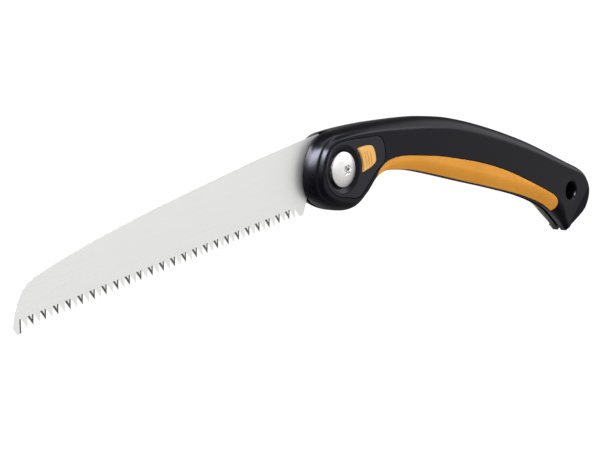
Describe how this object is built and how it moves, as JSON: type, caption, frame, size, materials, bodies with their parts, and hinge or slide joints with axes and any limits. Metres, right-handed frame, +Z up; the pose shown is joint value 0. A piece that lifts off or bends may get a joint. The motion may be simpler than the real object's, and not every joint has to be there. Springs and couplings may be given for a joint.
{
  "type": "folding pruning saw",
  "caption": "Folding pruning saw with a curved split handle, soft grip inlays, a domed pivot screw, a thumb lock button and a straight pull-cut blade.",
  "frame": {"origin": "pivot axis at the flat outer end of the pivot nut, on the saw's right side", "axes": "+X from the pivot towards the handle's tail along the open blade's tooth line, +Y along the pivot axis out of the saw's right side, +Z up"},
  "size_m": [0.4918, 0.0274, 0.1226],
  "materials": {
    "black_shell": "satin moulded black plastic",
    "charcoal_plate": "fine matte texture",
    "orange_grip": "matte soft grip",
    "orange_button": "satin moulded orange plastic",
    "blade_steel": "fine satin along the blade",
    "satin_steel": "satin turned steel"
  },
  "bodies": {
    "handle": {"left_shell": "black_shell", "right_shell": "black_shell", "left_grip": "orange_grip", "right_grip": "orange_grip", "left_cover_plate": "charcoal_plate", "right_cover_plate": "charcoal_plate", "pivot_screw": "satin_steel", "pivot_nut": "satin_steel", "washer_left": "satin_steel", "washer_right": "satin_steel", "wave_washer": "satin_steel", "stop_pin": "satin_steel", "lock_spring": "satin_steel", "spring_guide": "satin_steel", "shell_screw_1": "satin_steel", "shell_screw_2": "satin_steel", "shell_screw_3": "satin_steel", "shell_screw_4": "satin_steel"},
    "blade": {"blade": "blade_steel"},
    "lock": {"lock_button": "orange_button", "lock_slider": "satin_steel", "lock_pin": "satin_steel"}
  },
  "joints": [
    {"name": "blade_fold", "type": "hinge", "parent": "handle", "child": "blade", "pos_m": [0, -0.0125, 0], "axis": [0, -1, 0], "range_deg": [0, 155]},
    {"name": "lock_slide", "type": "slide", "parent": "handle", "child": "lock", "axis": [1, 0, 0], "range_m": [-0.0025, 0]}
  ]
}
